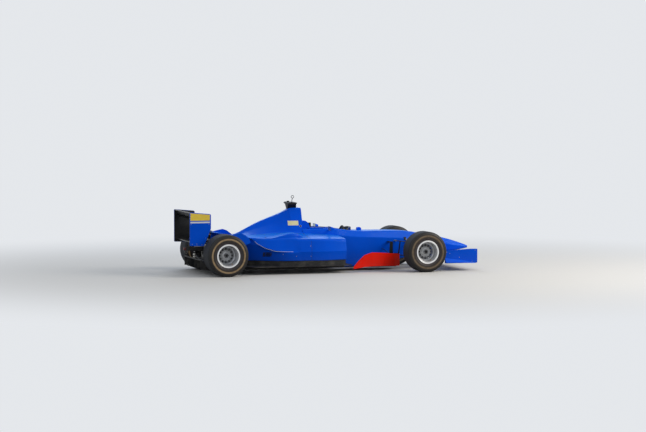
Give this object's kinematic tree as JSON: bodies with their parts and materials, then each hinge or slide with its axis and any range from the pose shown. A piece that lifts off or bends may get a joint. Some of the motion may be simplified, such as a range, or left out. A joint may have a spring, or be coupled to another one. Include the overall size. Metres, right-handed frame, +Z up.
{
  "type": "open wheel racing car",
  "caption": "Single seat open wheel racing car with slick tyres that spin, front wheels that steer with the rack and steering wheel, front and rear wings, sidepods and an open cockpit.",
  "frame": {"origin": "middle of the car's box on the ground", "axes": "+X forward, +Y to the car's left, +Z up"},
  "size_m": [4.54, 1.8, 1.15],
  "materials": {
    "body_blue": "glossy royal blue paint over composite",
    "board_red": "glossy red paint over composite",
    "wing_black": "satin black lacquer over composite",
    "carbon": "matt black carbon composite",
    "tyre": "slick black tyre",
    "rim_metal": "machined light alloy",
    "cast_alloy": "cast light alloy, dull",
    "steel": "plain steel",
    "brake": "dark friction disc",
    "plank_wood": "dark jabroc laminated wood",
    "clear_screen": "tinted clear plastic",
    "lamp_red": "red lens",
    "radiator": "dark finned core"
  },
  "bodies": {
    "chassis": {"monocoque": "body_blue", "nose_cone": "body_blue", "front_wing_pylons": "body_blue", "front_wing_main_plane": "body_blue", "front_wing_flaps": "body_blue", "front_wing_endplates": "body_blue", "engine_cover": "body_blue", "sidepod_left": "body_blue", "sidepod_right": "body_blue", "sidepod_lower_left": "body_blue", "sidepod_lower_right": "body_blue", "winglets": "body_blue", "headrest": "body_blue", "mirrors": "body_blue", "windscreen": "clear_screen", "camera_pod": "wing_black", "seat": "carbon", "steering_mounts": "carbon", "floor": "carbon", "skid_plank": "plank_wood", "diffuser": "carbon", "bargeboards": "board_red", "turning_vanes": "carbon", "engine_block": "cast_alloy", "gearbox": "cast_alloy", "crash_structure": "carbon", "rain_light": "lamp_red", "rear_wing_elements": "wing_black", "rear_wing_beam": "wing_black", "rear_wing_endplates": "body_blue", "radiators": "radiator", "exhausts": "steel", "front_wishbones": "carbon", "front_pushrods": "carbon", "rear_wishbones": "carbon", "rear_pushrods": "carbon", "rear_uprights": "cast_alloy"},
    "steering_wheel": {"steering_wheel": "carbon"},
    "steering_rack": {"steering_rack": "carbon"},
    "knuckle_left": {"front_upright_left": "cast_alloy"},
    "knuckle_right": {"front_upright_right": "cast_alloy"},
    "wheel_front_left": {"tyre_front_left": "tyre", "rim_front_left": "rim_metal", "brake_disc_front_left": "brake"},
    "wheel_rear_left": {"tyre_rear_left": "tyre", "rim_rear_left": "rim_metal", "brake_disc_rear_left": "brake", "driveshaft_left": "steel"},
    "wheel_front_right": {"tyre_front_right": "tyre", "rim_front_right": "rim_metal", "brake_disc_front_right": "brake"},
    "wheel_rear_right": {"tyre_rear_right": "tyre", "rim_rear_right": "rim_metal", "brake_disc_rear_right": "brake", "driveshaft_right": "steel"}
  },
  "joints": [
    {"name": "steer_right", "type": "hinge", "parent": "chassis", "child": "knuckle_right", "pos_m": [1.32, -0.64, 0.306], "axis": [0, 0, 1], "range_deg": [-14, 14]},
    {"name": "steer_left", "type": "hinge", "parent": "chassis", "child": "knuckle_left", "pos_m": [1.32, 0.64, 0.306], "axis": [0, 0, 1], "range_deg": [-14, 14]},
    {"name": "rack_slide", "type": "slide", "parent": "chassis", "child": "steering_rack", "axis": [0, 1, 0], "range_m": [-0.0246, 0.0246]},
    {"name": "steering_wheel_turn", "type": "hinge", "parent": "chassis", "child": "steering_wheel", "pos_m": [0.23, 0, 0.559], "axis": [-0.9895, 0, 0.1445], "range_deg": [-141, 141]},
    {"name": "front_wheel_spin_right", "type": "hinge", "parent": "knuckle_right", "child": "wheel_front_right", "pos_m": [1.32, -0.75, 0.306], "axis": [0, 1, 0], "continuous": true},
    {"name": "front_wheel_spin_left", "type": "hinge", "parent": "knuckle_left", "child": "wheel_front_left", "pos_m": [1.32, 0.75, 0.306], "axis": [0, 1, 0], "continuous": true},
    {"name": "rear_wheel_spin_right", "type": "hinge", "parent": "chassis", "child": "wheel_rear_right", "pos_m": [-1.78, -0.75, 0.31], "axis": [0, 1, 0], "continuous": true},
    {"name": "rear_wheel_spin_left", "type": "hinge", "parent": "chassis", "child": "wheel_rear_left", "pos_m": [-1.78, 0.75, 0.31], "axis": [0, 1, 0], "continuous": true}
  ],
  "couplings": [
    {"joint": "steer_left", "follows": "steer_right", "ratio": 1},
    {"joint": "rack_slide", "follows": "steer_right", "m_per_rad": -0.1},
    {"joint": "steering_wheel_turn", "follows": "steer_right", "ratio": 10}
  ]
}
